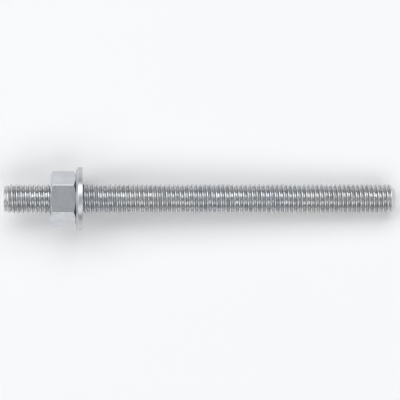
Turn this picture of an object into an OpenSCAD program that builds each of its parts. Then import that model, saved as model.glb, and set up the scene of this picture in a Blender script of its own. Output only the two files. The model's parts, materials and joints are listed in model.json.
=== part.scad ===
// Threaded anchor rod with a hexagon nut and a chamfered washer.
// The rod has a metric thread from end to end. One end is set in the wall, and the other
// stays free and carries the nut and the washer. Lengths are in millimetres.
// Every piece is drawn about the rod's axis, along its own Z: Z = 0 is the washer's
// bearing face, and +Z runs to the end that is set in the wall. lying() then lays the
// whole on its side, as it comes to rest on a flat surface.

/* [Rod] */
// Length of the rod from face to face
rod_length = 130; // [100:1:150]
// How far the free end stands out of the nut
free_reach = 15.4; // [6:0.1:40]
// Length of the taper at the free end
free_taper_length = 2.65; // [1:0.05:4]
// Slope of the taper at the free end, from the axis
free_taper_angle = 20; // [10:1:30]
// Length of the chamfer at the end that is set in the wall
set_chamfer_length = 1.7; // [0.5:0.1:2.5]
// Slope of the chamfer at the end that is set in the wall, from the axis
set_chamfer_angle = 45; // [30:1:50]

/* [Thread] */
// Major diameter of the thread
thread_d = 10; // [8:0.1:12]
// Advance in one turn
thread_pitch = 1.5; // [1.25:0.05:2]
// Facets in one turn
thread_sides = 14; // [12:1:16]

/* [Nut] */
// Width of the nut across its flats
nut_across_flats = 16; // [15:0.1:19]
// Height of the nut along the rod
nut_height = 8.4; // [6:0.1:12]
// Slope of the corner chamfers, from the nut's faces
nut_chamfer_angle = 30; // [15:1:35]
// How far inside the flats the round edge of each face lies
nut_face_inset = 0.1; // [0:0.05:0.5]
// How much wider than the thread each countersink's mouth is, in radius
nut_countersink = 0.3; // [0.1:0.05:0.6]

/* [Washer] */
// Outer diameter of the washer
washer_d = 21; // [19:0.1:26]
// Thickness of the washer
washer_thickness = 2.2; // [1.6:0.1:3]
// Height of the chamfer round the nut's side
washer_chamfer_height = 0.65; // [0.2:0.05:1]
// Slope of the chamfer, from the washer's face
washer_chamfer_angle = 30; // [20:1:45]
// Small chamfer on the punched edges
washer_edge_break = 0.15; // [0.05:0.05:0.3]

/* [Clearances] */
// Play between the threads of nut and rod at crests and roots, in radius
crest_clearance = 0.18; // [0.15:0.01:0.25]
// Play between the flanks of nut and rod, square to the flank
flank_clearance = 0.115; // [0.1:0.005:0.15]
// How much wider than the thread the washer's bore is, in diameter
bore_clearance = 0.5; // [0.2:0.05:1]
// Gap between the nut and the washer that it rests on
seat_gap = 0.05; // [0.02:0.01:0.2]

/* [Hidden] */
$fn = 96;

// Where the pieces stand along the axis
washer_back_z = -washer_thickness;
nut_front_z = washer_back_z - seat_gap;
nut_back_z = nut_front_z - nut_height;
free_end_z = nut_back_z - free_reach;
set_end_z = free_end_z + rod_length;

// The thread's section: flats on crests and roots, and flanks 30 degrees from the radius
flank_angle = 30;
crest_r = thread_d / 2;
root_r = crest_r - 0.6134 * thread_pitch;
crest_half_width = thread_pitch / 16;

// Past every crest, so that the blank cuts the ends alone
blank_r = crest_r + 1;

// The nut's tap and its corner circle
tap_crest_r = crest_r + crest_clearance;
tap_root_r = root_r + crest_clearance;
nut_corner_r = nut_across_flats / 2 / cos(30);
nut_face_r = nut_across_flats / 2 - nut_face_inset;
nut_chamfer_height = (nut_corner_r - nut_face_r) * tan(nut_chamfer_angle);
countersink_r = tap_crest_r + nut_countersink;

washer_r = washer_d / 2;
bore_r = (thread_d + bore_clearance) / 2;
washer_chamfer_width = washer_chamfer_height / tan(washer_chamfer_angle);

// At rest the washer's rim and the last full crests touch the surface that the rod lies on
last_crest_z = set_end_z - set_chamfer_length;
lying_angle = atan((washer_r - crest_r) / (last_crest_z + washer_edge_break));

steel = [0.78, 0.79, 0.80];
nut_steel = [0.72, 0.74, 0.76];
washer_steel = [0.82, 0.82, 0.81];

// Half the axial width of the thread's ridge at radius r, thickened by gap on each flank
function ridge_half_width(r, gap) =
    crest_half_width + (crest_r - r) * tan(flank_angle) + gap / cos(flank_angle);

// The ridge's section as [radius, distance along the axis from the ridge's middle]
function ridge_section(inner_r, outer_r, gap) = [
    [inner_r, -ridge_half_width(inner_r, gap)],
    [outer_r, -ridge_half_width(outer_r, gap)],
    [outer_r, ridge_half_width(outer_r, gap)],
    [inner_r, ridge_half_width(inner_r, gap)]
];

// A right-hand thread that fills the axis from low_z to high_z and up to a turn beyond.
// Its points are the section's corners at every step of the turn, and its middle lies at
// Z = 0 where the turn starts, so a nut's thread and a rod's made here are in step.
module thread(low_z, high_z, inner_r, outer_r, gap = 0) {
    section = ridge_section(inner_r, outer_r, gap);
    corners = len(section);
    first = floor((low_z / thread_pitch - 1) * thread_sides);
    last = ceil((high_z / thread_pitch + 1) * thread_sides);
    steps = last - first;
    function at(step, corner) = step * corners + corner;
    function on_axis(step) = [0, 0, step * thread_pitch / thread_sides];
    points = [
        for (step = [first : last])
            for (corner = section)
                on_axis(step) + [
                    corner[0] * cos(360 * step / thread_sides),
                    corner[0] * sin(360 * step / thread_sides),
                    corner[1]
                ]
    ];
    low_middle = len(points);
    high_middle = low_middle + 1;
    ridge_faces = [
        for (step = [0 : steps - 1])
            for (corner = [0 : corners - 2])
                each [
                    [at(step, corner), at(step, corner + 1), at(step + 1, corner + 1)],
                    [at(step, corner), at(step + 1, corner + 1), at(step + 1, corner)]
                ]
    ];
    // The groove's floor joins each ridge to the next one, a whole turn later
    floor_faces = [
        for (step = [0 : steps - 1 - thread_sides])
            let (top = corners - 1, next = step + thread_sides)
                each [
                    [at(step, top), at(next, 0), at(next + 1, 0)],
                    [at(step, top), at(next + 1, 0), at(step + 1, top)]
                ]
    ];
    low_rim = concat(
        [for (step = [0 : thread_sides]) at(step, 0)],
        [for (corner = [corners - 1 : -1 : 0]) at(0, corner)]
    );
    high_rim = concat(
        [for (step = [steps : -1 : steps - thread_sides]) at(step, corners - 1)],
        [for (corner = [0 : corners - 1]) at(steps, corner)]
    );
    caps = [
        for (i = [0 : len(low_rim) - 2])
            each [
                [low_middle, low_rim[i], low_rim[i + 1]],
                [high_middle, high_rim[i], high_rim[i + 1]]
            ]
    ];
    polyhedron(
        points = concat(points, [on_axis(first), on_axis(last)]),
        faces = concat(ridge_faces, floor_faces, caps)
    );
}

// The bar with its two tapered ends, wider than the thread everywhere else
module rod_blank() {
    free_face_r = crest_r - free_taper_length * tan(free_taper_angle);
    set_face_r = crest_r - set_chamfer_length * tan(set_chamfer_angle);
    rotate_extrude()
        polygon([
            [0, free_end_z],
            [free_face_r, free_end_z],
            [blank_r, free_end_z + (blank_r - free_face_r) / tan(free_taper_angle)],
            [blank_r, set_end_z - (blank_r - set_face_r) / tan(set_chamfer_angle)],
            [set_face_r, set_end_z],
            [0, set_end_z]
        ]);
}

module threaded_rod() {
    color(steel)
        lying()
            intersection() {
                rod_blank();
                thread(free_end_z, set_end_z, root_r, crest_r);
            }
}

// The hexagon, with the corners of both faces turned off to a cone
module nut_blank() {
    intersection() {
        translate([0, 0, nut_back_z])
            rotate(30)
                cylinder(h = nut_height, r = nut_corner_r, $fn = 6);
        rotate_extrude()
            polygon([
                [0, nut_back_z],
                [nut_face_r, nut_back_z],
                [nut_corner_r, nut_back_z + nut_chamfer_height],
                [nut_corner_r, nut_front_z - nut_chamfer_height],
                [nut_face_r, nut_front_z],
                [0, nut_front_z]
            ]);
    }
}

// A 90 degree cone that widens the thread's mouth at height z. side is -1 on the nut's
// back face and 1 on its front.
module countersink(z, side) {
    over = 0.5;
    translate([0, 0, z + side * over])
        mirror([0, 0, side > 0 ? 1 : 0])
            cylinder(h = countersink_r + over, r1 = countersink_r + over, r2 = 0);
}

module hex_nut() {
    color(nut_steel)
        lying()
            difference() {
                nut_blank();
                thread(nut_back_z, nut_front_z, tap_root_r, tap_crest_r, flank_clearance);
                countersink(nut_back_z, -1);
                countersink(nut_front_z, 1);
            }
}

module washer() {
    color(washer_steel)
        lying()
            rotate_extrude()
                polygon([
                    [bore_r + washer_edge_break, 0],
                    [washer_r - washer_edge_break, 0],
                    [washer_r, -washer_edge_break],
                    [washer_r, washer_back_z + washer_chamfer_height],
                    [washer_r - washer_chamfer_width, washer_back_z],
                    [bore_r + washer_edge_break, washer_back_z],
                    [bore_r, washer_back_z + washer_edge_break],
                    [bore_r, -washer_edge_break]
                ]);
}

// Turns the axis from Z to +X, with the wall's end low enough to touch the surface too
module lying() {
    rotate([0, 90 + lying_angle, 0])
        children();
}

threaded_rod();
hex_nut();
washer();
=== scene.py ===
# %% [markdown]
# A threaded anchor rod with its nut and washer
#
# The object is an M10 anchor rod, 130 mm long, that is glued or bolted into a wall. A hexagon nut and a
# chamfered washer sit near its free end. It lies on the floor on the washer's rim and on its far end, so it
# leans about 3 degrees. Every size and place follows the CAD model. This file dresses it: a true rounded
# thread, softened edges and zinc-plated steel.
#
# The first step loads the CAD model and keeps its box, whose lowest point later gives the floor's height.
# Blender works in metres here, but a fastener's sizes are easier to read in millimetres. So sizes are
# written in millimetres, and MM turns them into metres where they go to Blender.

# %% Load the CAD model
import bmesh
import bpy
import json
import math
from mathutils import Matrix, Vector


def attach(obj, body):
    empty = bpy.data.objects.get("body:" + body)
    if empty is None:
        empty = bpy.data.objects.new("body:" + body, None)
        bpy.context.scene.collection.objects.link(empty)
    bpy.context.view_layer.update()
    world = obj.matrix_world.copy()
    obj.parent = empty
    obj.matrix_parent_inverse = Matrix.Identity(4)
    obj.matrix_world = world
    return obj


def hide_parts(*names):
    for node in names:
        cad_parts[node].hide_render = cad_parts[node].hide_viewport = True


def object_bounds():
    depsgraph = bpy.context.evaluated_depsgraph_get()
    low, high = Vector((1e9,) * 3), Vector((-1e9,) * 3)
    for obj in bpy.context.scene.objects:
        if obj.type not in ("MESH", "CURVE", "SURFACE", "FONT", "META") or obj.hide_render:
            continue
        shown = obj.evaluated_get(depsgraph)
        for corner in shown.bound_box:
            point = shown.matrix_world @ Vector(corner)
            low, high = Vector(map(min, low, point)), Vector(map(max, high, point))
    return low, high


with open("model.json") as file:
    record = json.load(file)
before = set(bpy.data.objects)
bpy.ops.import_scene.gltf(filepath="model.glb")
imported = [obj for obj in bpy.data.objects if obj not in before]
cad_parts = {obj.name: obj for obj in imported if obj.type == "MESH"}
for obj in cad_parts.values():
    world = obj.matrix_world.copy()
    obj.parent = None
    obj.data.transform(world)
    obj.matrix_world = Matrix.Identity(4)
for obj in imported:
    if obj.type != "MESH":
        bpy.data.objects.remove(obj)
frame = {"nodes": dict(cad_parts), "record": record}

MM = 0.001


def in_mm(values):
    """Metres as rounded millimetres, for printing."""
    return [round(value / MM, 2) for value in values]


cad_box = [list(corner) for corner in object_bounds()]
print("CAD nodes:", sorted(frame["nodes"]))
print("CAD box in mm:", [in_mm(corner) for corner in cad_box])

# %% [markdown]
# Sizes and places from the frame
#
# The CAD record names four mounts: the washer's face that is pressed towards the wall, the two threaded
# ends of the rod and the flats of the nut. Their places and directions say how the rod leans, where it ends
# and where the nut sits. The same could be measured on the CAD meshes, but their flat facets would make it
# inexact. Distances along the rod are counted from the washer's face, towards the wall.

# %% Read the mounts
mounts = {mount["name"]: mount for mount in frame["record"]["mounts"]}
axis = mounts["bearing_face"]["axis"]
LEAN = math.asin(-axis[2])


def along_rod(name):
    """How far along the rod a mount lies, to a thousandth of a millimetre."""
    return round(Vector(mounts[name]["pos_m"]).dot(Vector(axis)) / MM, 3)


FREE_END = along_rod("free_end_thread")
WALL_END = along_rod("wall_end_thread")
CREST = mounts["wall_end_thread"]["dims"]["r_mm"]
NUT_HEIGHT = mounts["nut_flats"]["dims"]["length_mm"]
NUT_BACK = along_rod("nut_flats") - NUT_HEIGHT / 2
NUT_FRONT = NUT_BACK + NUT_HEIGHT
print("lean in degrees:", round(math.degrees(LEAN), 3))
print("rod from", FREE_END, "to", WALL_END, "and nut from", round(NUT_BACK, 3), "to", round(NUT_FRONT, 3))

# %% [markdown]
# Laying a piece down
#
# Each piece is drawn upright about the rod's axis, with Z = 0 at the washer's face, and is then laid down.
# It could be laid down by turning its object, but every finished object has to sit unturned at the origin.
# So the turn goes into the mesh.

# %% The turn that lays a piece down
LAY = Matrix.Rotation(math.pi / 2 + LEAN, 4, "Y")


def new_object(name, data):
    """An object in the scene, from a mesh, a lamp or a camera."""
    made = bpy.data.objects.new(name, data)
    bpy.context.scene.collection.objects.link(made)
    return made


def laid_down(name, mesh):
    """An object at the origin, from a mesh that was drawn upright."""
    mesh.transform(LAY)
    mesh.update()
    return new_object(name, mesh)


for end, z in (("free end", FREE_END), ("wall end", WALL_END)):
    print(end, "in mm:", [round(value, 2) for value in LAY @ Vector((0, 0, z))])

# %% [markdown]
# Sections with soft corners
#
# Turned and rolled steel has no razor edges, and plating softens them further. Light catches these small
# roundings, and they make metal look solid. A Bevel modifier could round the corners afterwards, but on a
# thread of thousands of faces it is slow and can tear. Here each section is first drawn as a line of
# corners, each with its own radius, and is rounded before it is turned or wound. The first helper makes the
# arc that takes one corner's place.

# %% Round one corner
WIDEST_STEP = 31
FEWEST_STEPS = 2


def corner_arc(corner, back, ahead, radius, turn):
    """The points of an arc that takes a corner's place.

    Back and ahead point along the two straights, and turn is the angle by which the line turns between
    them. No step of the arc turns by more than WIDEST_STEP degrees.
    """
    reach = radius * math.tan(turn / 2)
    centre = corner + (back + ahead).normalized() * (radius / math.cos(turn / 2))
    first = corner + back * reach - centre
    last = corner + ahead * reach - centre
    steps = max(FEWEST_STEPS, math.ceil(math.degrees(turn) / WIDEST_STEP))
    arc = []
    for step in range(steps + 1):
        share = step / steps
        spoke = first * math.sin((1 - share) * turn) + last * math.sin(share * turn)
        arc.append(centre + spoke / math.sin(turn))
    return arc


quarter = corner_arc(Vector((1, 1)), Vector((-1, 0)), Vector((0, -1)), 0.2, math.pi / 2)
print("a quarter turn:", [tuple(round(v, 3) for v in point) for point in quarter])

# %% [markdown]
# Roundings and guard points
#
# A rounded section is a list of points, and each point also says whether it lies on a rounding, because
# that is where the plating is rubbed bright later. A guard point on each side of a rounding keeps the flat
# beside it flat when the surface is shaded smooth. More points would do the same, but they cost triangles.

# %% Round the corners of a section
GUARD_SHARE = 0.3


def rounded_section(corners, guard, shortest=0.0):
    """Rounds a line of (along, across, radius) corners into points of (along, across, edge).

    The edge value is 1 on a rounding and 0 away from it. The two ends of the line stay as they are. Guard
    points lie up to guard away from a rounding, and a straight shorter than shortest gets none.
    """
    flat = [Vector(corner[:2]) for corner in corners]
    inner = range(1, len(corners) - 1)
    turn = {i: (flat[i] - flat[i - 1]).angle(flat[i + 1] - flat[i]) for i in inner}
    reach = {i: corners[i][2] * math.tan(turn[i] / 2) for i in inner}
    made = [(*flat[0], 0.0)]
    for i in inner:
        sides = []
        for j in (i - 1, i + 1):
            straight = flat[j] - flat[i]
            free = straight.length - reach[i] - reach.get(j, 0.0)
            room = min(guard, GUARD_SHARE * free) if free > shortest else 0.0
            sides.append((straight.normalized(), room))
        (back, room_back), (ahead, room_ahead) = sides
        if room_back > 0:
            made.append((*(flat[i] + back * (reach[i] + room_back)), 0.0))
        arc = corner_arc(flat[i], back, ahead, corners[i][2], turn[i])
        made += [(*point, 1.0) for point in arc]
        if room_ahead > 0:
            made.append((*(flat[i] + ahead * (reach[i] + room_ahead)), 0.0))
    made.append((*flat[-1], 0.0))
    return made


sample = rounded_section([(0, 1, 0), (1, 1, 0.2), (1, 0, 0)], guard=0.05)
print("a rounded square's corner has", len(sample), "points")

# %% [markdown]
# Drawing node trees in a script
#
# Small helpers keep the node trees readable: one adds a node and fills its sockets, one does sums, and two
# take vectors apart and put them together. A value that is given as a socket becomes a link, and any other
# value is typed into the socket.


# %% Helpers for nodes
def fill(tree, socket, value):
    """Links a socket to another, or types a value into it."""
    if isinstance(value, bpy.types.NodeSocket):
        tree.links.new(value, socket)
    else:
        socket.default_value = value


def add(tree, kind, inputs=None, **settings):
    """Adds a node. The keys of inputs are socket names or numbers."""
    node = tree.nodes.new(kind)
    for key, value in settings.items():
        setattr(node, key, value)
    for key, value in (inputs or {}).items():
        fill(tree, node.inputs[key], value)
    return node


def calc(tree, operation, *values):
    """The result of a Math node."""
    return add(tree, "ShaderNodeMath", dict(enumerate(values)), operation=operation).outputs[0]


def split(tree, vector):
    """A vector's X, Y and Z, by name."""
    return add(tree, "ShaderNodeSeparateXYZ", {0: vector}).outputs


def combine(tree, x=0.0, y=0.0, z=0.0):
    """A vector from its X, Y and Z."""
    return add(tree, "ShaderNodeCombineXYZ", {0: x, 1: y, 2: z}).outputs[0]


print("helpers for nodes: fill, add, calc, split, combine")

# %% [markdown]
# Node groups
#
# A node group is a tree with named inputs and outputs that can be placed in other trees. So a shape or an
# effect is drawn once, and used again with other values. The nodes could be copied into every tree, but a
# change would then have to be made in each of them.

# %% Helpers for groups
NUMBER = "NodeSocketFloat"
WHOLE = "NodeSocketInt"
SWITCH = "NodeSocketBool"
VECTOR = "NodeSocketVector"
GEOMETRY = "NodeSocketGeometry"
OBJECT = "NodeSocketObject"
MATERIAL = "NodeSocketMaterial"


def sockets(kind, *labels):
    """Sockets of one kind that start at nothing."""
    return {label: (kind, None) for label in labels}


def new_tree(name, kind, inputs, outputs):
    """A node group with named sockets, given as {name: (kind, starting value)}."""
    tree = bpy.data.node_groups.new(name, kind)
    for way, wanted in (("INPUT", inputs), ("OUTPUT", outputs)):
        for label, (socket_kind, start) in wanted.items():
            socket = tree.interface.new_socket(name=label, in_out=way, socket_type=socket_kind)
            if start is not None:
                socket.default_value = start
    return tree, tree.nodes.new("NodeGroupInput").outputs, tree.nodes.new("NodeGroupOutput").inputs


def put_out(tree, result, values):
    """Links values to a group's outputs by name, and prints how large the finished group is."""
    for label, value in values.items():
        fill(tree, result[label], value)
    print(tree.name, "has", len(tree.nodes), "nodes")


def picked(values, *labels):
    """The sockets of the given names, by name."""
    return {label: values[label] for label in labels}


def place_group(tree, group, inputs):
    """Places a group in a tree of the same kind, and gives its outputs."""
    kind = tree.bl_idname.replace("Tree", "Group")
    return add(tree, kind, inputs, node_tree=group).outputs


print("helpers for groups: sockets, new_tree, put_out, picked, place_group")

# %% [markdown]
# Reading a section inside a tree
#
# A section is handed to a tree as a small object that holds only points: the distance along the axis, the
# distance from it, and the edge value. Every tree lays a flat grid and then moves its points, one column
# for each step round the axis and one row for each point of the section. This first group does the shared
# part, and begins with the grid. Its number of rows follows from how many points the section has. An open
# section has one row less than points, which is left off here, and a closed one has as many.

# %% Lay a grid for a section
COLUMNS = 64
grid_tree, given, result = new_tree(
    "section_grid",
    "GeometryNodeTree",
    {
        **sockets(OBJECT, "Section"),
        "Columns": (WHOLE, COLUMNS),
        "Repeats": (WHOLE, 1),
        "Rows Left Off": (WHOLE, 0),
    },
    {**sockets(GEOMETRY, "Grid"), **sockets(NUMBER, "Turned By", "Repeat", "Along", "Across", "Edge")},
)
section = add(grid_tree, "GeometryNodeObjectInfo", {"Object": given["Section"]}).outputs["Geometry"]
count = add(grid_tree, "GeometryNodeAttributeDomainSize", {"Geometry": section}).outputs["Point Count"]
rows = calc(grid_tree, "MULTIPLY", count, given["Repeats"])
rows = calc(grid_tree, "SUBTRACT", rows, given["Rows Left Off"])
grid_sizes = {
    "Size X": given["Columns"],
    "Size Y": rows,
    "Vertices X": calc(grid_tree, "ADD", given["Columns"], 1),
    "Vertices Y": calc(grid_tree, "ADD", rows, 1),
}
grid = add(grid_tree, "GeometryNodeMeshGrid", grid_sizes)
print("section_grid starts with", len(grid_tree.nodes), "nodes")

# %% [markdown]
# Which point of the section is this?
#
# The grid's squares are one unit wide, so a point's own position says which column and which row it is in.
# From the row follow how many whole sections lie below the point and what the section says there. The
# point's number in the mesh would say the same, but it depends on the order in which Blender makes a grid.

# %% Read the section at each point of the grid
place = add(grid_tree, "GeometryNodeInputPosition").outputs[0]
spot = split(grid_tree, place)
half_columns = calc(grid_tree, "MULTIPLY", given["Columns"], 0.5)
half_rows = calc(grid_tree, "MULTIPLY", rows, 0.5)
column = calc(grid_tree, "ROUND", calc(grid_tree, "ADD", spot["X"], half_columns))
row = calc(grid_tree, "ROUND", calc(grid_tree, "ADD", spot["Y"], half_rows))
repeat = calc(grid_tree, "FLOOR", calc(grid_tree, "DIVIDE", calc(grid_tree, "ADD", row, 0.5), count))
point = calc(grid_tree, "SUBTRACT", row, calc(grid_tree, "MULTIPLY", repeat, count))
sample = add(grid_tree, "GeometryNodeSampleIndex", {"Geometry": section}, data_type="FLOAT_VECTOR")
fill(grid_tree, sample.inputs["Value"], place)
fill(grid_tree, sample.inputs["Index"], point)
read = split(grid_tree, sample.outputs[0])
turned = calc(grid_tree, "MULTIPLY", calc(grid_tree, "DIVIDE", column, given["Columns"]), math.tau)
readings = {
    "Grid": grid.outputs["Mesh"],
    "Turned By": turned,
    "Repeat": repeat,
    "Along": read["X"],
    "Across": read["Y"],
    "Edge": read["Z"],
}
put_out(grid_tree, result, readings)

# %% [markdown]
# Placing the grid's points round the axis
#
# The second group takes a grid, an angle, a distance along the axis and a distance from it, and puts the
# points there. It also stores three masks that the steel's material reads later: how near an edge a point
# is, how deep in a thread's groove, and whether a tool cut the surface there. Points that meet, at the seam
# and at the middle of an end face, are then merged, so that the surface is closed.

# %% Wrap a grid round the axis
TOUCHING = 0.001 * MM
MASKS = ("edge", "groove", "cut")


def surface_tree(name, inputs):
    """A group of geometry nodes that puts out one surface."""
    return new_tree(name, "GeometryNodeTree", inputs, sockets(GEOMETRY, "Surface"))


def pass_through(tree, kind, surface, inputs=None, **settings):
    """Sends a surface through a geometry node, and gives what comes out."""
    return add(tree, kind, {"Geometry": surface, **(inputs or {})}, **settings).outputs[0]


wrap_tree, given, result = surface_tree(
    "wrap_round_axis",
    {**sockets(GEOMETRY, "Grid"), **sockets(NUMBER, "Turned By", "Along", "Across", *MASKS)},
)
across, turned = given["Across"], given["Turned By"]
x = calc(wrap_tree, "MULTIPLY", across, calc(wrap_tree, "COSINE", turned))
y = calc(wrap_tree, "MULTIPLY", across, calc(wrap_tree, "SINE", turned))
moved = {"Position": combine(wrap_tree, x, y, given["Along"])}
surface = given["Grid"]
for mask in MASKS:
    stored = {"Name": mask, "Value": given[mask]}
    surface = pass_through(
        wrap_tree, "GeometryNodeStoreNamedAttribute", surface, stored, data_type="FLOAT", domain="POINT"
    )
surface = pass_through(wrap_tree, "GeometryNodeSetPosition", surface, moved)
surface = pass_through(wrap_tree, "GeometryNodeMergeByDistance", surface, {"Distance": TOUCHING})
put_out(wrap_tree, result, {"Surface": surface})

# %% [markdown]
# Turning a section, as on a lathe
#
# End faces and the whole washer are turned shapes: their section is the same all the way round. The Spin
# tool or a Screw modifier could turn them too. The two groups above already do it, and this way the turned
# parts have exactly the same columns as the thread that they have to meet.

# %% A turned surface
turn_tree, given, result = surface_tree(
    "turned_surface",
    {
        **sockets(OBJECT, "Section"),
        "Columns": (WHOLE, COLUMNS),
        "Rows Left Off": (WHOLE, 1),
        "Cut": (NUMBER, 1.0),
    },
)
laid = place_group(turn_tree, grid_tree, picked(given, "Section", "Columns", "Rows Left Off"))
places = picked(laid, "Grid", "Turned By", "Along", "Across")
masks = {"edge": laid["Edge"], "cut": given["Cut"]}
wrapped = place_group(turn_tree, wrap_tree, {**places, **masks})
put_out(turn_tree, result, wrapped)

# %% [markdown]
# Winding a section into a thread
#
# A screw thread is one ridge that climbs by its pitch in each turn. The Screw modifier can wind a section
# too, but it leaves open steps at both ends. Here the rows of the grid climb instead: each column starts a
# little higher than the last, and after one turn the seam meets the same section one pitch up. The thread
# is wound a turn or two too far at both ends, and those rows are pressed flat against the end.

# %% Make the rows climb
TURNS_BELOW = 2
TURNS_ABOVE = 1
thread_sizes = {
    "Columns": (WHOLE, COLUMNS),
    "Pitch": (NUMBER, 1.0 * MM),
    **sockets(NUMBER, "Low End", "Low Radius", "Low Slope"),
    **sockets(NUMBER, "High End", "High Radius", "High Slope"),
    **sockets(NUMBER, "Crest Radius", "Root Radius"),
    "Inside a Bore": (SWITCH, False),
}
thread_tree, given, result = surface_tree(
    "wound_thread", {**sockets(OBJECT, "Section"), **thread_sizes}
)
first = calc(thread_tree, "FLOOR", calc(thread_tree, "DIVIDE", given["Low End"], given["Pitch"]))
first = calc(thread_tree, "SUBTRACT", first, TURNS_BELOW)
past = calc(thread_tree, "CEIL", calc(thread_tree, "DIVIDE", given["High End"], given["Pitch"]))
repeats = calc(thread_tree, "SUBTRACT", calc(thread_tree, "ADD", past, TURNS_ABOVE), first)
wanted = {**picked(given, "Section", "Columns"), "Repeats": repeats}
laid = place_group(thread_tree, grid_tree, wanted)

climbed = calc(thread_tree, "DIVIDE", laid["Turned By"], math.tau)
climbed = calc(thread_tree, "ADD", climbed, calc(thread_tree, "ADD", laid["Repeat"], first))
along = calc(thread_tree, "MULTIPLY_ADD", climbed, given["Pitch"], laid["Along"])
along = calc(thread_tree, "MINIMUM", along, given["High End"])
along = calc(thread_tree, "MAXIMUM", along, given["Low End"])
print("wound_thread starts with", len(thread_tree.nodes), "nodes")

# %% [markdown]
# Tapering the thread's ends
#
# The rod's tapers cut its thread away towards the ends. So the radius at each point is held inside two
# cones, one from each end. In the nut the same rule works the other way round: there the radius is held
# outside the cones of the two countersinks. A Boolean would cut the same shape, but slowly, and with
# ragged faces along the cut.

# %% Hold the radius to the cones
from_low = calc(thread_tree, "SUBTRACT", along, given["Low End"])
from_high = calc(thread_tree, "SUBTRACT", given["High End"], along)
low_cone = calc(thread_tree, "MULTIPLY_ADD", from_low, given["Low Slope"], given["Low Radius"])
high_cone = calc(thread_tree, "MULTIPLY_ADD", from_high, given["High Slope"], given["High Radius"])
drawn = laid["Across"]
held = {
    "Switch": given["Inside a Bore"],
    "False": calc(thread_tree, "MINIMUM", calc(thread_tree, "MINIMUM", drawn, low_cone), high_cone),
    "True": calc(thread_tree, "MAXIMUM", calc(thread_tree, "MAXIMUM", drawn, low_cone), high_cone),
}
across = add(thread_tree, "GeometryNodeSwitch", held, input_type="FLOAT").outputs[0]
print("wound_thread has", len(thread_tree.nodes), "nodes so far")

# %% [markdown]
# Masks of the thread
#
# Where a cone held the radius, a tool has cut the thread, and the surface there has neither a rolled edge
# nor a groove. Everywhere else the groove mask goes from 0 on the crest to 1 at the root. The radius could
# be measured later in the material, but a mask in the mesh also fits the nut, whose crest lies inside.

# %% Work out the masks and wrap the thread
missing = calc(thread_tree, "ABSOLUTE", calc(thread_tree, "SUBTRACT", across, drawn))
cut = calc(thread_tree, "GREATER_THAN", missing, 2 * TOUCHING)
uncut = calc(thread_tree, "SUBTRACT", 1.0, cut)
whole_depth = calc(thread_tree, "SUBTRACT", given["Root Radius"], given["Crest Radius"])
depth = calc(thread_tree, "SUBTRACT", across, given["Crest Radius"])
depth = calc(thread_tree, "DIVIDE", depth, whole_depth)
places = {**picked(laid, "Grid", "Turned By"), "Along": along, "Across": across}
masks = {
    "edge": calc(thread_tree, "MULTIPLY", laid["Edge"], uncut),
    "groove": calc(thread_tree, "MULTIPLY", depth, uncut),
    "cut": cut,
}
wrapped = place_group(thread_tree, wrap_tree, {**places, **masks})
put_out(thread_tree, result, wrapped)

# %% [markdown]
# One tree for a threaded skin
#
# This tree winds a thread, turns what lies beyond each of its ends, joins the three and merges the rings
# where they meet. The rod uses it with its two end faces, and the nut's bore with its two countersunk
# mouths. Joining them in the tree keeps the rod one closed skin, as the real bar is.


# %% Build the tree of a threaded skin
def finish_tree(tree, result, surface, steel):
    """Merges what touches, shades it smooth, makes it real, gives it its steel and puts it out."""
    surface = pass_through(tree, "GeometryNodeMergeByDistance", surface, {"Distance": TOUCHING})
    surface = pass_through(tree, "GeometryNodeSetShadeSmooth", surface)
    surface = pass_through(tree, "GeometryNodeRealizeInstances", surface)
    surface = pass_through(tree, "GeometryNodeSetMaterial", surface, {"Material": steel})
    put_out(tree, result, {"Surface": surface})


end_labels = ("Low Section", "High Section")
sections = sockets(OBJECT, "Thread Section", *end_labels)
skin_tree, given, result = surface_tree(
    "threaded_skin", {**sections, **thread_sizes, **sockets(MATERIAL, "Steel")}
)
wanted = {"Section": given["Thread Section"], **picked(given, *thread_sizes)}
parts = [place_group(skin_tree, thread_tree, wanted)]
for label in end_labels:
    wanted = {"Section": given[label], "Columns": given["Columns"]}
    parts.append(place_group(skin_tree, turn_tree, wanted))
joined = add(skin_tree, "GeometryNodeJoinGeometry")
for part in parts:
    skin_tree.links.new(part["Surface"], joined.inputs[0])
finish_tree(skin_tree, result, joined.outputs[0], given["Steel"])

# %% [markdown]
# Running a tree
#
# A tree runs as a modifier on an empty mesh. Its inputs are set by their identifiers before Blender first
# looks at the object, and new_from_object then takes the result as a plain mesh. A grid brings an empty
# material slot with it, which is taken out so that the steel is the only one. The objects that hold the
# sections are kept in a list, because they are deleted at the end: everything that is left in the scene has
# to be a real piece.

# %% Run a tree once and keep its mesh
section_objects = []


def section_object(name, points):
    """A helper object with one point for each point of a section, from mm to metres."""
    mesh = bpy.data.meshes.new(name)
    mesh.from_pydata([(along * MM, across * MM, edge) for along, across, edge in points], [], [])
    helper = new_object(name, mesh)
    section_objects.append(helper)
    return helper


def grow(name, tree, values):
    """The mesh that a tree makes from the given values, by input name."""
    host = new_object(name, bpy.data.meshes.new(name + "_start"))
    modifier = host.modifiers.new("grow", "NODES")
    modifier.node_group = tree
    for item in tree.interface.items_tree:
        if item.name in values:
            modifier[item.identifier] = values[item.name]
    host.update_tag()
    graph = bpy.context.evaluated_depsgraph_get()
    mesh = bpy.data.meshes.new_from_object(host.evaluated_get(graph))
    host.modifiers.remove(modifier)
    bpy.data.objects.remove(host)
    mesh.name = name
    mesh.materials.pop(index=0)
    return mesh


print("helpers for meshes: section_object, grow")

# %% [markdown]
# Measuring a mesh
#
# Each piece is one closed skin, as the real one is. In a closed mesh two faces meet at every edge, and its
# volume is above zero only if they face outwards. The viewport can show both by colour, but numbers can be
# compared with the CAD model's.


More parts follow.
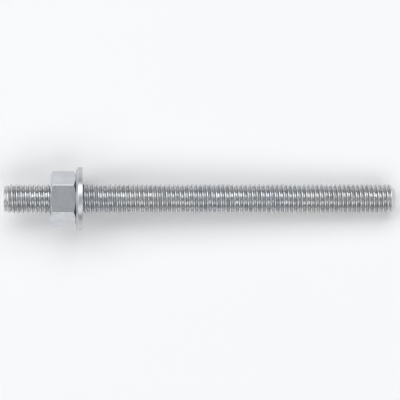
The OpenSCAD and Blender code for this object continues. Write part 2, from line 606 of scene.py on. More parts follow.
# %% Measure a mesh
def measured(mesh):
    """A mesh's volume in mm3, its triangles, and the edges where it is open."""
    shape = bmesh.new()
    shape.from_mesh(mesh)
    volume = round(shape.calc_volume(signed=True) / MM**3, 1)
    triangles = sum(len(face.verts) - 2 for face in shape.faces)
    open_edges = sum(1 for edge in shape.edges if len(edge.link_faces) != 2)
    shape.free()
    return volume, triangles, open_edges


for node, solid in frame["nodes"].items():
    print("CAD volume of", node, "in mm3:", measured(solid.data)[0])

# %% [markdown]
# The thread's section
#
# An M10 thread climbs 1.5 mm a turn. Its flanks stand at 60 degrees to each other, the crest is a flat of
# an eighth of the pitch, and the root is rounded, as the rolling dies leave it. The section starts in the
# middle of one crest and ends before the next. The flanks are drawn on to the sharp V where they would
# meet, and one large rounding there makes the whole root. Its radius and the thread's depth are the
# standard shares of the pitch.

# %% Draw one pitch of the rod's thread
PITCH = 1.5
DEPTH_SHARE = 0.61343
ROOT_SHARE = 0.144
FLANK = math.tan(math.radians(30))
CREST_HALF = PITCH / 16
CREST_ROUNDING = 0.06
ROOT = CREST - DEPTH_SHARE * PITCH
v_depth = (PITCH / 2 - CREST_HALF) / FLANK

rod_pitch = rounded_section(
    [
        (0, CREST, 0),
        (CREST_HALF, CREST, CREST_ROUNDING),
        (PITCH / 2, CREST - v_depth, ROOT_SHARE * PITCH),
        (PITCH - CREST_HALF, CREST, CREST_ROUNDING),
        (PITCH, CREST, 0),
    ],
    guard=0.06,
    shortest=0.1,
)[:-1]
deepest = min(across for along, across, edge in rod_pitch)
print(len(rod_pitch), "points a pitch")
print("deepest in mm:", round(deepest, 4), "and in the CAD model:", round(ROOT, 4))

# %% [markdown]
# The two ends of the rod
#
# The free end has a shallow 20 degree taper that lets a nut or a setting tool start easily. The wall end
# has a 45 degree chamfer. Both cut a little deeper than the thread, and both end faces are turned flat,
# with a broken edge. Each end's section runs over that edge, between the thread's last ring and the middle
# of the face. To round the edge, a short stub of the slope beside it is drawn too, and left off again.

# %% Draw the end faces
FREE_TAPER = 2.65
FREE_SLOPE = math.tan(math.radians(20))
WALL_CHAMFER = 1.7
WALL_SLOPE = 1.0
FREE_EDGE = 0.12
WALL_EDGE = 0.2
STUB = 1.0


def end_section(end, inwards, start, radius, slope, rounding):
    """Points from start, a radius on an end's face, over its broken edge to the slope behind it.

    Inwards is 1 at a low end and -1 at a high end.
    """
    behind = (end + inwards * STUB, radius + STUB * slope, 0)
    return rounded_section([(end, start, 0), (end, radius, rounding), behind], guard=0.1)[:-2]


free_radius = CREST - FREE_TAPER * FREE_SLOPE
wall_radius = CREST - WALL_CHAMFER * WALL_SLOPE
free_face = end_section(FREE_END, 1, 0, free_radius, FREE_SLOPE, FREE_EDGE)
wall_face = end_section(WALL_END, -1, 0, wall_radius, WALL_SLOPE, WALL_EDGE)[::-1]
print("the free end's face ends at a radius of", round(free_face[-1][1], 3), "mm")
print("the wall end's face ends at a radius of", round(wall_face[0][1], 3), "mm")

# %% [markdown]
# Zinc-plated steel
#
# All three pieces are steel with a thin bright zinc plating and a clear blue passivation, as rods of this
# kind are sold. From a step away such a part is a cool light grey metal with faint bluish and straw
# clouds, darker thread roots and brighter edges; the roots are darkened partly as grime and partly as
# painted shade. Close up the plating is satin, with lathe rings where it was turned. A photograph could be
# projected on it, but node textures hold at any distance and from any side.
#
# Each effect is a node group, built once and placed in all three steels. A group puts out only masks and
# heights, and the shader itself stays in the material. The groups share a few helpers.


# %% Helpers for effects
def noise(tree, vector, scale, detail=2.0, roughness=0.5):
    """The value of a noise texture."""
    inputs = {"Vector": vector, "Scale": scale, "Detail": detail, "Roughness": roughness}
    return add(tree, "ShaderNodeTexNoise", inputs).outputs[0]


def spread(tree, value, low, high):
    """Stretches the range low to high over 0 to 1, and clips it there."""
    return add(tree, "ShaderNodeMapRange", {0: value, 1: low, 2: high}).outputs[0]


def mapped(tree, vector, changes):
    """A place that is moved, turned or stretched before a texture reads it."""
    return add(tree, "ShaderNodeMapping", {"Vector": vector, **changes}).outputs[0]


def effect_tree(name, inputs, *outputs):
    """A group of shader nodes that takes a place and other inputs, and puts out numbers."""
    inputs = {**sockets(VECTOR, "Vector"), **inputs}
    return new_tree(name, "ShaderNodeTree", inputs, sockets(NUMBER, *outputs))


print("helpers for effects: noise, spread, mapped, effect_tree")

# %% [markdown]
# Clouds and grain
#
# Zinc grows as fine crystals, and the passivation on it is never equally thick. The first group makes both:
# a crystal grain, wide clouds, and a slow drift of the tint. An image could show them, but it would repeat
# itself along the rod.

# %% Group: clouds and grain of the plating
TINT_PLACE = (0.013, 0.027, 0.041)
TINT_SCALE = 0.6
FINE_SCALE = 0.7
CRYSTAL_SHARE = 0.35
CLOUD_RANGE = (0.3, 0.7)
TINT_RANGE = (0.32, 0.68)
plating_sizes = {"Cloud Size": (NUMBER, 6 * MM), "Grain Size": (NUMBER, 0.25 * MM)}
plating, given, result = effect_tree("plating", plating_sizes, "Cloud", "Tint", "Grain")
cloud_scale = calc(plating, "DIVIDE", 1.0, given["Cloud Size"])
grain_scale = calc(plating, "DIVIDE", 1.0, given["Grain Size"])
cloud = noise(plating, given["Vector"], cloud_scale, detail=3.0, roughness=0.55)
tint_place = mapped(plating, given["Vector"], {"Location": TINT_PLACE})
tint = noise(plating, tint_place, calc(plating, "MULTIPLY", cloud_scale, TINT_SCALE))
crystals = add(plating, "ShaderNodeTexVoronoi", {"Vector": given["Vector"], "Scale": grain_scale})
crystals = split(plating, crystals.outputs["Color"])["X"]
fine_scale = calc(plating, "MULTIPLY", grain_scale, FINE_SCALE)
fine = noise(plating, given["Vector"], fine_scale, roughness=0.6)
fine = calc(plating, "MULTIPLY", fine, 1 - CRYSTAL_SHARE)
found = {
    "Cloud": spread(plating, cloud, *CLOUD_RANGE),
    "Tint": spread(plating, tint, *TINT_RANGE),
    "Grain": calc(plating, "MULTIPLY_ADD", crystals, CRYSTAL_SHARE, fine),
}
put_out(plating, result, found)

# %% [markdown]
# Marks of making
#
# A lathe tool leaves fine rings round the axis on end faces, chamfers and washers. Dies leave faint lines
# along the flats of a nut, and thread rolls leave fine streaks that run round with the flanks. All three
# are stretched noise. Rings read only the distance from the axis and the height. Drawn lines hardly read
# the height. Streaks read the distance from the axis and very little of the rest, because a line that
# climbs round the rod along a flank keeps its distance from the axis. In the material a Mapping node first
# turns the coordinates, so that their Z runs along the rod.

# %% Group: lathe rings, drawn lines and rolled streaks
STREAK_SCALE = 16 / MM
STREAK_DRIFT = 0.03
LINE_STRETCH = (1, 1, 0.04)
marks_sizes = {"Ring Spacing": (NUMBER, 0.12 * MM), "Line Spacing": (NUMBER, 0.1 * MM)}
marks, given, result = effect_tree("making_marks", marks_sizes, "Rings", "Lines", "Streaks")
spot = split(marks, given["Vector"])
squares = calc(marks, "MULTIPLY_ADD", spot["X"], spot["X"], calc(marks, "MULTIPLY", spot["Y"], spot["Y"]))
radius = calc(marks, "SQRT", squares)
ring_place = combine(marks, x=radius, z=spot["Z"])
rings = noise(marks, ring_place, calc(marks, "DIVIDE", 1.0, given["Ring Spacing"]), detail=1.0)
line_place = mapped(marks, given["Vector"], {"Scale": LINE_STRETCH})
lines = noise(marks, line_place, calc(marks, "DIVIDE", 1.0, given["Line Spacing"]))
slow_y = calc(marks, "MULTIPLY", spot["Y"], STREAK_DRIFT)
slow_z = calc(marks, "MULTIPLY", spot["Z"], STREAK_DRIFT)
streak_place = combine(marks, radius, slow_y, slow_z)
streaks = noise(marks, streak_place, STREAK_SCALE)
put_out(marks, result, {"Rings": rings, "Lines": lines, "Streaks": streaks})

# %% [markdown]
# Wear, grime and painted shade
#
# Handling rubs the plating bright on edges and crests, and dust and oil settle in grooves. The same groove
# mask also darkens the thread roots as painted shade, on top of the shade that the lamps give them. The
# pieces carry masks in their meshes for this. A noise breaks each mask up, because real wear is never even.
# Fine scratches are two noises, each stretched in a slanting direction of its own and cut off high, so that
# only thin streaks are left.

# %% Group: worn edges, grooves darkened by grime and painted shade, and scratches
PATCH_RANGE = (0.35, 0.65)
PATCHES_WEAR = 0.6
PATCHES_CLEAN = -0.5
# How fast grime and painted shade grow towards the root of a groove
GRIME_AND_SHADE_POWER = 1.5
SCRATCH_SCALE = 9 / MM
SCRATCH_RANGE = (0.69, 0.75)
SCRATCH_WAYS = (((0.4, 0.2, 0.7), (1, 0.04, 1)), ((0.1, 1.1, -0.5), (0.05, 1, 1)))
wear_inputs = {**sockets(NUMBER, "Edge", "Groove"), "Patch Size": (NUMBER, 1.5 * MM)}
wear, given, result = effect_tree("wear_grime_and_shade", wear_inputs, "Worn", "Grime", "Scratch")
patch_scale = calc(wear, "DIVIDE", 1.0, given["Patch Size"])
patches = noise(wear, given["Vector"], patch_scale, detail=3.0, roughness=0.6)
patches = spread(wear, patches, *PATCH_RANGE)
uneven = calc(wear, "MULTIPLY_ADD", patches, PATCHES_WEAR, 1 - PATCHES_WEAR)
worn = calc(wear, "MULTIPLY", given["Edge"], uneven)
# Grime and painted shade: deeper in a groove is darker, partly dirt and partly painted shade in the roots
grime_and_shade = calc(wear, "POWER", calc(wear, "MAXIMUM", given["Groove"], 0.0), GRIME_AND_SHADE_POWER)
grime_and_shade = calc(wear, "MULTIPLY", grime_and_shade, calc(wear, "MULTIPLY_ADD", patches, PATCHES_CLEAN, 1.0))
scratches = 0.0
for turned_by, stretch in SCRATCH_WAYS:
    slanted = mapped(wear, given["Vector"], {"Rotation": turned_by, "Scale": stretch})
    streak = spread(wear, noise(wear, slanted, SCRATCH_SCALE, detail=1.0), *SCRATCH_RANGE)
    scratches = calc(wear, "MAXIMUM", streak, scratches)
put_out(wear, result, {"Worn": worn, "Grime": grime_and_shade, "Scratch": scratches})

# %% [markdown]
# Bringing the effects into a steel
#
# Every steel takes the same three groups and the three masks of its mesh. The coordinates are the object's
# own, turned upright, so that the rings lie round the rod's axis however the rod lies. Two more effects
# come from these: turned marks show only where a tool cut the surface, and rolled marks only where none
# did.


# %% Collect what the groups and the masks say
def steel_effects(tree, cloud_size):
    """Places the groups in a steel, and gives all their outputs and the masks by name."""
    place = add(tree, "ShaderNodeTexCoord").outputs["Object"]
    place = mapped(tree, place, {"Rotation": (0, -math.pi / 2 - LEAN, 0)})
    effects = {}
    for mask in MASKS:
        effects[mask] = add(tree, "ShaderNodeAttribute", attribute_name=mask).outputs["Fac"]
    for group, inputs in (
        (plating, {"Cloud Size": cloud_size * MM}),
        (marks, {}),
        (wear, {"Edge": effects["edge"], "Groove": effects["groove"]}),
    ):
        effects.update(place_group(tree, group, {"Vector": place, **inputs}).items())
    effects["Turned"] = calc(tree, "MULTIPLY", effects["Rings"], effects["cut"])
    uncut = calc(tree, "SUBTRACT", 1.0, effects["cut"])
    effects["Rolled"] = calc(tree, "MULTIPLY", effects["Streaks"], uncut)
    return effects


print("groups:", [group.name for group in (plating, marks, wear)])

# %% [markdown]
# The colour of the plating
#
# Metals take their colour from the base colour alone. It drifts between a bluish and a straw tint, as the
# passivation does where it is a little thicker or thinner. Clouds, grain and lathe rings shade it, grime
# and painted shade darken it in the grooves, and rubbing lays it bare.

# %% Mix the colour
COOL = (0.965, 0.98, 1.02)
STRAW = (1.03, 0.995, 0.95)
RUBBED = (1.14, 1.14, 1.13)
# The dark colour of grime and painted shade in the thread roots, and how much of it is mixed in
GRIME_AND_SHADE_COLOUR = (0.10, 0.095, 0.09, 1)
GRIME_AND_SHADE_SHARE = 0.85
WORN_SHARE = 0.7
SCRATCH_SHARE = 0.5
SHADES = {"Cloud": (0.16, 0.86), "Grain": (0.08, 0.96), "Turned": (-0.30, 1.05)}


def blend_colours(tree, share, a, b, way="MIX"):
    """Mixes two colours. A Mix node has three pairs of sockets A and B, and the colours' are 6 and 7."""
    inputs = {0: share, 6: a, 7: b}
    return add(tree, "ShaderNodeMix", inputs, data_type="RGBA", blend_type=way).outputs[2]


def tinted(colour, tint):
    """A colour times a tint, channel by channel."""
    return (*(min(1.0, value * by) for value, by in zip(colour, tint)), 1.0)


def steel_colour(tree, effects, colour):
    """The colour of a plated steel.

    Each effect in SHADES multiplies it by a factor, which is the effect times amount, plus start.
    """
    shade = 1.0
    for name, (amount, start) in SHADES.items():
        factor = calc(tree, "MULTIPLY_ADD", effects[name], amount, start)
        shade = calc(tree, "MULTIPLY", factor, shade)
    tone = blend_colours(tree, effects["Tint"], tinted(colour, COOL), tinted(colour, STRAW))
    tone = blend_colours(tree, 1.0, tone, combine(tree, shade, shade, shade), "MULTIPLY")
    # Grime and painted shade darken the grooves: partly dirt, partly painted shade in the roots
    dirt_and_shade = calc(tree, "MULTIPLY", effects["Grime"], GRIME_AND_SHADE_SHARE)
    tone = blend_colours(tree, dirt_and_shade, tone, GRIME_AND_SHADE_COLOUR)
    worn = calc(tree, "MULTIPLY", effects["Worn"], WORN_SHARE)
    scratched = calc(tree, "MULTIPLY", effects["Scratch"], SCRATCH_SHARE)
    return blend_colours(tree, calc(tree, "MAXIMUM", worn, scratched), tone, tinted(colour, RUBBED))


print("shades:", SHADES)

# %% [markdown]
# The three steels
#
# The steels differ a little, as parts from three bins do: the rod is rolled and the brightest, the nut is
# formed cold, more satin and a little darker, and the washer is punched and turned, with the clearest
# rings. The roughness does most of the work: every effect changes it a little, so that highlights break up
# as they do on real plating. The fine relief could be real geometry, but at about a hundredth of a
# millimetre a bump is enough.

# %% Make the steels
ROUGHENS = {"Cloud": -0.12, "Grain": 0.08, "Grime": 0.25, "Worn": -0.10, "Scratch": -0.08, "Turned": 0.20}
RAISES = {"Grain": 0.35, "Scratch": -0.3}
RELIEF_DEPTH = 0.03
RELIEF_STRENGTH = 0.35


def added_up(tree, effects, amounts, start=0.0):
    """Adds up effects, each times its own amount."""
    for name, amount in amounts.items():
        start = calc(tree, "MULTIPLY_ADD", effects[name], amount, start)
    return start


def plated_steel(name, colour, roughness, cloud_size, rings, lines=0.0, streaks=0.0):
    """A zinc-plated steel. Rings, lines and streaks say how strong its three kinds of marks are."""
    steel = bpy.data.materials.new(name)
    steel.use_nodes = True
    tree = steel.node_tree
    shader = tree.nodes["Principled BSDF"].inputs
    effects = steel_effects(tree, cloud_size)
    relief = added_up(tree, effects, {"Turned": rings, "Lines": lines, "Rolled": streaks, **RAISES})
    bump = {"Height": relief, "Strength": RELIEF_STRENGTH, "Distance": RELIEF_DEPTH * MM}
    fill(tree, shader["Base Color"], steel_colour(tree, effects, colour))
    fill(tree, shader["Roughness"], added_up(tree, effects, ROUGHENS, roughness))
    fill(tree, shader["Normal"], add(tree, "ShaderNodeBump", bump).outputs[0])
    shader["Metallic"].default_value = 1.0
    return steel


rod_steel = plated_steel(
    "rod_steel_plated", (0.70, 0.72, 0.74), roughness=0.25, cloud_size=9, rings=1.8, streaks=0.5
)
nut_steel = plated_steel(
    "nut_steel_plated", (0.61, 0.63, 0.655), roughness=0.30, cloud_size=6, rings=1.8, lines=0.4
)
washer_steel = plated_steel(
    "washer_steel_plated", (0.66, 0.675, 0.69), roughness=0.27, cloud_size=7, rings=2.2
)
print("steels:", [steel.name for steel in (rod_steel, nut_steel, washer_steel)])

# %% [markdown]
# Growing the rod
#
# The tree of a threaded skin now runs with the rod's real sizes. The thread's first and last rings are
# where the end faces' broken edges begin, so the sections meet to a hair. The nut's bore will be grown in
# the same way, so both use one function.


# %% Grow the rod
def threaded_skin(name, sections, slopes, crest, root, steel, bore=False):
    """The mesh of a threaded skin. Slopes say how fast the radius widens from each end inwards.

    The sections are those of the low end, of one pitch of the thread and of the high end.
    """
    low_section, pitch_section, high_section = sections
    low_ring, high_ring = low_section[-1], high_section[0]
    values = {
        "Thread Section": section_object(name + "_pitch", pitch_section),
        "Low Section": section_object(name + "_low", low_section),
        "High Section": section_object(name + "_high", high_section),
        "Columns": COLUMNS,
        "Pitch": PITCH * MM,
        "Low End": low_ring[0] * MM,
        "High End": high_ring[0] * MM,
        "Low Radius": low_ring[1] * MM,
        "High Radius": high_ring[1] * MM,
        "Low Slope": slopes[0],
        "High Slope": slopes[1],
        "Crest Radius": crest * MM,
        "Root Radius": root * MM,
        "Inside a Bore": bore,
        "Steel": steel,
    }
    return grow(name, skin_tree, values)


rod_sections = (free_face, rod_pitch, wall_face)
rod_mesh = threaded_skin("rod_skin", rod_sections, (FREE_SLOPE, WALL_SLOPE), CREST, ROOT, rod_steel)
print("rod: volume, triangles, open edges:", measured(rod_mesh))
rod = laid_down("rolled_rod", rod_mesh)

# %% [markdown]
# Turning the washer
#
# The washer is a flat ring with a 30 degree chamfer on the nut's side, which is the sloping line in the
# drawing. It could be a cylinder with a hole and a bevel, but a turned section is simpler. The section
# starts and ends in the middle of a face, and closes on itself. So no row of the grid is left off: the last
# row meets the first.

# %% Turn the washer
WASHER_COLUMNS = 128
WASHER_BACK = -2.2
WASHER_RADIUS = 10.5
WASHER_BORE = 5.25
WASHER_CHAMFER = 0.65
WASHER_SLOPE = math.tan(math.radians(30))
RIM_ROUNDING = 0.15
BORE_ROUNDING = 0.12
MID_FACE = 7.0
washer_ring = rounded_section(
    [
        (WASHER_BACK, MID_FACE, 0),
        (WASHER_BACK, WASHER_RADIUS - WASHER_CHAMFER / WASHER_SLOPE, RIM_ROUNDING),
        (WASHER_BACK + WASHER_CHAMFER, WASHER_RADIUS, RIM_ROUNDING),
        (0, WASHER_RADIUS, RIM_ROUNDING),
        (0, WASHER_BORE, BORE_ROUNDING),
        (WASHER_BACK, WASHER_BORE, BORE_ROUNDING),
        (WASHER_BACK, MID_FACE, 0),
    ],
    guard=0.12,
)[:-1]
washer_inputs = {**sockets(OBJECT, "Section"), **sockets(MATERIAL, "Steel")}
washer_inputs["Columns"] = (WHOLE, WASHER_COLUMNS)
washer_tree, given, result = surface_tree("turned_washer", washer_inputs)
wanted = {**picked(given, "Section", "Columns"), "Rows Left Off": 0}
ring = place_group(washer_tree, turn_tree, wanted)
finish_tree(washer_tree, result, ring["Surface"], given["Steel"])
washer_values = {
    "Section": section_object("washer_ring", washer_ring),
    "Columns": WASHER_COLUMNS,
    "Steel": washer_steel,
}
washer_mesh = grow("washer_skin", washer_tree, washer_values)
print("washer: volume, triangles, open edges:", measured(washer_mesh))
washer = laid_down("chamfered_washer", washer_mesh)

# %% [markdown]
# The nut's thread
#
# The nut's thread is wound in the same way, but turned inside out: its crest is nearest the axis. The nut
# has a little play on the rod, 0.18 mm at crests and roots and 0.115 mm at the flanks, as in the CAD model.
# So its ridge is the rod's groove with that play left round it. A 45 degree countersink opens both mouths.

# %% Draw and grow the tapped bore
CREST_PLAY = 0.18
FLANK_PLAY = 0.115
COUNTERSINK = 0.3
COUNTERSINK_SLOPE = -1.0
TAP_ROUNDING = 0.05
MOUTH_EDGE = 0.1
tap_root = CREST + CREST_PLAY
tap_crest = ROOT + CREST_PLAY
mouth = tap_root + COUNTERSINK
tap_root_half = CREST_HALF + FLANK_PLAY / math.cos(math.radians(30)) - CREST_PLAY * FLANK
tap_crest_start = tap_root_half + (tap_root - tap_crest) * FLANK
nut_pitch = rounded_section(
    [
        (0, tap_root, 0),
        (tap_root_half, tap_root, CREST_ROUNDING),
        (tap_crest_start, tap_crest, TAP_ROUNDING),
        (PITCH - tap_crest_start, tap_crest, TAP_ROUNDING),
        (PITCH - tap_root_half, tap_root, CREST_ROUNDING),
        (PITCH, tap_root, 0),
    ],
    guard=0.06,
    shortest=0.2,
)[:-1]
mouth_sizes = (MID_FACE, mouth, COUNTERSINK_SLOPE, MOUTH_EDGE)
low_mouth = end_section(NUT_BACK, 1, *mouth_sizes)[1:]
high_mouth = end_section(NUT_FRONT, -1, *mouth_sizes)[:0:-1]
bore_sections = (low_mouth, nut_pitch, high_mouth)
slopes = (COUNTERSINK_SLOPE, COUNTERSINK_SLOPE)
bore_mesh = threaded_skin("bore_skin", bore_sections, slopes, tap_crest, tap_root, nut_steel, bore=True)
print("bore, still open at its mouths:", measured(bore_mesh))

# %% [markdown]
# The outline of the hexagon
#
# A nut's six corners are slightly rounded by the die. A cylinder with six sides has sharp corners, so the
# outline is drawn point by point: a few points along each flat, with one close to each corner to keep the
# flat flat, and a small arc round each corner.

# %% Draw the hexagon
FLAT = 8.0
CORNER_ROUNDING = 0.35
CORNER_GUARD = 0.15
FLAT_POINTS = (-3.4, -1.8, 0.0, 1.8, 3.4)
SIDE_ANGLE = math.radians(60)


def turned_to(angle, place):
    """A point of the plane, turned about the axis."""
    return Matrix.Rotation(angle, 2) @ Vector(place)


tangent = (FLAT - CORNER_ROUNDING) * math.tan(SIDE_ANGLE / 2)
corner_centre = (FLAT - CORNER_ROUNDING) / math.cos(SIDE_ANGLE / 2)
along_flat = (-tangent, CORNER_GUARD - tangent, *FLAT_POINTS, tangent - CORNER_GUARD, tangent)
hexagon = []
for side in range(6):
    facing = SIDE_ANGLE * side
    for u in along_flat:
        hexagon.append((turned_to(facing, (FLAT, u)), 1.0 if abs(u) == tangent else 0.0))
    middle = turned_to(facing + SIDE_ANGLE / 2, (corner_centre, 0))
    for quarter in (1, 2, 3):
        spoke = turned_to(facing + SIDE_ANGLE * quarter / 4, (CORNER_ROUNDING, 0))
        hexagon.append((middle + spoke, 1.0))
widest = 2 * max(spot.length for spot, edge in hexagon)
print(len(hexagon), "points round the nut, widest", round(widest, 2), "mm")

# %% [markdown]
# The nut's body
#
# A nut's faces are turned to a 30 degree cone, and where the cone cuts the six flats it leaves the curved
# edges that the drawing shows. A Boolean with a cone would cut them, but it leaves ragged faces. Here the
# section is drawn anew for every point of the outline: the cone always starts on the same circle and runs
# down to wherever the outline is, which gives the true curve. The face, the cone, both edges and the flat
# come out as clean bands of quads. The first and the last few points of each section, FLAT_STARTS of them,
# lie on the turned face and cone, and the others on the flat. The bands join the bore's mesh, so the nut is
# one piece.

# %% Draw the bands round the nut
FACE_CIRCLE = 7.9
FACE_EDGE = 0.1
FLAT_EDGE = 0.12
CONE_SLOPE = math.tan(math.radians(30))
FLAT_STARTS = 8
shell = bmesh.new()
shell.from_mesh(bore_mesh)
masks = {mask: shell.verts.layers.float[mask] for mask in MASKS}
columns = []
for spot, corner_edge in hexagon:
    out = spot.length
    drop = (out - FACE_CIRCLE) * CONE_SLOPE
    band = rounded_section(
        [
            (NUT_BACK, MID_FACE, 0),
            (NUT_BACK, FACE_CIRCLE, FACE_EDGE),
            (NUT_BACK + drop, out, FLAT_EDGE),
            (NUT_FRONT - drop, out, FLAT_EDGE),
            (NUT_FRONT, FACE_CIRCLE, FACE_EDGE),
            (NUT_FRONT, MID_FACE, 0),
        ],
        guard=0.12,
    )
    column = []
    for number, (along, across, edge) in enumerate(band):
        on_flat = FLAT_STARTS <= number < len(band) - FLAT_STARTS
        spoke = spot.normalized() * across
        vert = shell.verts.new(Vector((*spoke, along)) * MM)
        vert[masks["edge"]] = max(edge, corner_edge if on_flat else 0.0)
        vert[masks["cut"]] = 0.0 if on_flat else 1.0
        column.append(vert)
    columns.append(column)
for here, following in zip(columns, columns[1:] + columns[:1]):
    for j in range(len(here) - 1):
        shell.faces.new((here[j], following[j], following[j + 1], here[j + 1]))
print(len(columns), "columns of", len(columns[0]), "points round the nut")

# %% [markdown]
# The nut's two faces
#
# Each face is still open between the bore's mouth and the first ring of the bands. The rings have different
# numbers of points, so the Bridge Edge Loops tool would match them badly. Here the gap is closed like a
# zip: it goes round once, and each triangle takes the next point of whichever ring is behind.


# %% Close the nut
def angle_of(vert):
    """A point's direction round the axis, from 0 to a full turn."""
    return math.atan2(vert.co.y, vert.co.x) % math.tau


def zip_rings(shape, inner, outer):
    """Fills the flat ring between two rings of points with triangles, however many points each has."""
    inner = sorted(inner, key=angle_of)
    outer = sorted(outer, key=angle_of)
    inner_turn = [angle_of(vert) for vert in inner] + [angle_of(inner[0]) + math.tau, math.inf]
    outer_turn = [angle_of(vert) for vert in outer] + [angle_of(outer[0]) + math.tau, math.inf]
    i = j = 0
    while i < len(inner) or j < len(outer):
        here = inner[i % len(inner)], outer[j % len(outer)]
        if inner_turn[i + 1] < outer_turn[j + 1]:
            i += 1
            shape.faces.new((*here, inner[i % len(inner)]))
        else:
            j += 1
            shape.faces.new((*here, outer[j % len(outer)]))


between = (mouth + MID_FACE) / 2 * MM
for height in (NUT_BACK * MM, NUT_FRONT * MM):
    rim = [vert for vert in shell.verts if vert.is_boundary and abs(vert.co.z - height) < TOUCHING]
    mouth_ring = [vert for vert in rim if vert.co.xy.length < between]
    face_ring = [vert for vert in rim if vert.co.xy.length > between]
    zip_rings(shell, mouth_ring, face_ring)
bmesh.ops.recalc_face_normals(shell, faces=shell.faces)
for face in shell.faces:
    face.smooth = True
nut_mesh = bpy.data.meshes.new("nut_skin")
shell.to_mesh(nut_mesh)
shell.free()
nut_mesh.materials.append(nut_steel)
print("nut: volume, triangles, open edges:", measured(nut_mesh))
nut = laid_down("tapped_nut", nut_mesh)

# %% [markdown]
# Handing the pieces over
#
# Each finished piece stands for its CAD node and moves with that node's body, so it goes wherever the
# motion model takes it. The helper objects that held the sections are deleted.

# %% Tie the pieces to the CAD bodies
for piece, body, node, slot in (
    (rod, "rod", "threaded_rod", "rod_steel"),
    (nut, "nut", "hex_nut", "nut_steel"),
    (washer, "washer", "washer", "washer_steel"),
):
    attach(piece, body)
    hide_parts(node)
for helper in section_objects:
    bpy.data.objects.remove(helper)
print("pieces:", [piece.name for piece in (rod, nut, washer)])

# %% [markdown]
# The floor
#
# The drawing has a white ground. A white world alone would leave the rod floating, with no shadow. So the
# floor is a large pale plane, at the height where the washer's rim and the far end touch it. It is part of
# the stage and not of the object.

# %% Lay the floor
FLOOR_REACH = 12.0
scene = bpy.context.scene
scene.view_settings.view_transform = "Standard"
floor_height = cad_box[0][2]
floor_mesh = bpy.data.meshes.new("floor")
corners = [(-1, -1), (1, -1), (1, 1), (-1, 1)]
corners = [(x * FLOOR_REACH, y * FLOOR_REACH, floor_height) for x, y in corners]
floor_mesh.from_pydata(corners, [], [(0, 1, 2, 3)])
floor = new_object("floor", floor_mesh)
print("floor at", round(floor_height / MM, 3), "mm")

# %% [markdown]
# The floor's paint
#
# Far from the rod the lamps no longer reach the floor, and it would turn dark towards the horizon. A curved
# studio backdrop could hide that. Here the far floor simply glows as pale as it is painted, for the camera
# and in reflections, so it looks the same from every side. Near the rod it is plain paint, which keeps the
# rod's shadow.

# %% Paint the floor
PALE = (0.96, 0.96, 0.96, 1)
GLOW_STARTS = 0.3
GLOW_WHOLE = 1.5
floor_paint = bpy.data.materials.new("floor_paint")
floor_paint.use_nodes = True
paint = floor_paint.node_tree
near_shader = paint.nodes["Principled BSDF"]
near_shader.inputs["Base Color"].default_value = PALE
near_shader.inputs["Roughness"].default_value = 0.9
near_shader.inputs["Specular IOR Level"].default_value = 0.2
ground = add(paint, "ShaderNodeTexCoord").outputs["Object"]
away = add(paint, "ShaderNodeVectorMath", {0: ground}, operation="LENGTH").outputs["Value"]
rays = add(paint, "ShaderNodeLightPath").outputs
seen = calc(paint, "MAXIMUM", rays["Is Camera Ray"], rays["Is Glossy Ray"])
seen = calc(paint, "MAXIMUM", seen, rays["Is Transmission Ray"])
glow = add(paint, "ShaderNodeEmission", {"Color": PALE, "Strength": 1.0}).outputs[0]
share = calc(paint, "MULTIPLY", spread(paint, away, GLOW_STARTS, GLOW_WHOLE), seen)
whole = add(paint, "ShaderNodeMixShader", {0: share, 1: near_shader.outputs[0], 2: glow}).outputs[0]
fill(paint, paint.nodes["Material Output"].inputs["Surface"], whole)
floor_mesh.materials.append(floor_paint)
print("the floor glows from", GLOW_STARTS, "to", GLOW_WHOLE, "m away")

# %% [markdown]
# The room
#
# Metal shows what stands round it, so an evenly white room would make it flat. The room is a soft dome. It
# is as pale as the floor at the horizon, so that no line shows there, then grey above it, and paler again
# straight overhead, where a ceiling would be.

# %% Colour the room
WALLS = (0.16, 0.165, 0.175, 1)
CEILING = (0.42, 0.43, 0.45, 1)
WALLS_RANGE = (0.02, 0.30)
CEILING_RANGE = (0.80, 0.98)
room = bpy.data.worlds.new("room")
scene.world = room
room.use_nodes = True
sky = room.node_tree
direction = add(sky, "ShaderNodeTexCoord").outputs["Generated"]
height = split(sky, direction)["Z"]
shade = blend_colours(sky, spread(sky, height, *WALLS_RANGE), PALE, WALLS)
shade = blend_colours(sky, spread(sky, height, *CEILING_RANGE), shade, CEILING)
fill(sky, sky.nodes["Background"].inputs["Color"], shade)
print("room has", len(sky.nodes), "nodes")

# %% [markdown]
# The lamps
#
# Four large soft lamps hang round the rod: a key lamp and a weaker fill along its two sides, and one beyond
# each end. Small lamps would leave hard glints and shadows, and the drawing has none. A lamp's energy is
# worked out from how bright its face should look, so that a larger lamp isn't a harsher one.


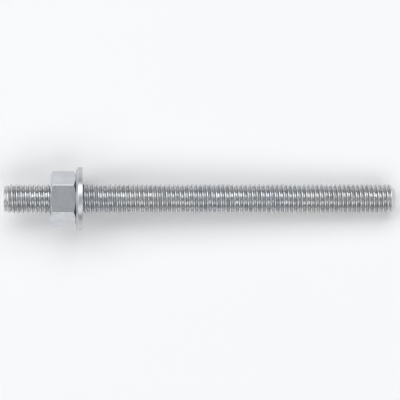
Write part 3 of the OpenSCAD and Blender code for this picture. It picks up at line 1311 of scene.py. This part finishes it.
# %% Hang the lamps
def soft_lamp(name, place, size_x, size_y, brightness):
    """A rectangular lamp that faces the rod's middle. Place and size are in metres."""
    data = bpy.data.lights.new(name, "AREA")
    data.shape = "RECTANGLE"
    data.size = size_x
    data.size_y = size_y
    data.energy = brightness * math.pi * size_x * size_y
    lamp = new_object(name, data)
    lamp.location = place
    lamp.rotation_euler = (rod_middle - lamp.location).to_track_quat("-Z", "Y").to_euler()
    return lamp


rod_middle = LAY @ Vector((0, 0, (FREE_END + WALL_END) / 2)) * MM
lamps = [
    soft_lamp("key", (-0.3, 1.3, 1.9), size_x=3.0, size_y=1.5, brightness=2.4),
    soft_lamp("fill", (0.3, -1.3, 1.7), size_x=3.0, size_y=1.2, brightness=1.6),
    soft_lamp("left", (-2.0, 0.0, 1.4), size_x=1.0, size_y=1.6, brightness=1.8),
    soft_lamp("right", (2.1, 0.0, 1.3), size_x=1.0, size_y=1.6, brightness=1.2),
]
print("lamps in watts:", {lamp.name: round(lamp.data.energy, 1) for lamp in lamps})

# %% [markdown]
# The camera
#
# The drawing is a plain side view: the rod runs level, a flat of the nut faces us, and the nut and washer
# are seen edge on. A camera straight above the lying rod sees just that. It stands far off with a long
# lens, so that there is little perspective. Its height and place come from two sight lines, one to each end
# of the rod, whose columns were measured in the drawing. The row of the rod's axis gives the rest.

# %% Place the camera
IMAGE = 400
LEFT_COLUMN = 3.7
RIGHT_COLUMN = 395.4
AXIS_ROW = 198.8
LENS = 200.0
camera_data = bpy.data.cameras.new("camera")
camera_data.lens = LENS
camera = new_object("camera", camera_data)
scene.camera = camera
pixel = camera_data.sensor_width / LENS / IMAGE
left = LAY @ Vector((-free_radius, 0, FREE_END)) * MM
right = LAY @ Vector((-wall_radius, 0, WALL_END)) * MM
slope_left = (IMAGE / 2 - LEFT_COLUMN) * pixel
slope_right = (RIGHT_COLUMN - IMAGE / 2) * pixel
camera_z = (right.x - left.x + slope_right * right.z + slope_left * left.z) / (slope_left + slope_right)
camera_x = left.x + slope_left * (camera_z - left.z)
camera_y = (AXIS_ROW - IMAGE / 2) * pixel * camera_z
camera.location = (camera_x, camera_y, camera_z)
print("camera in mm:", in_mm(camera.location))
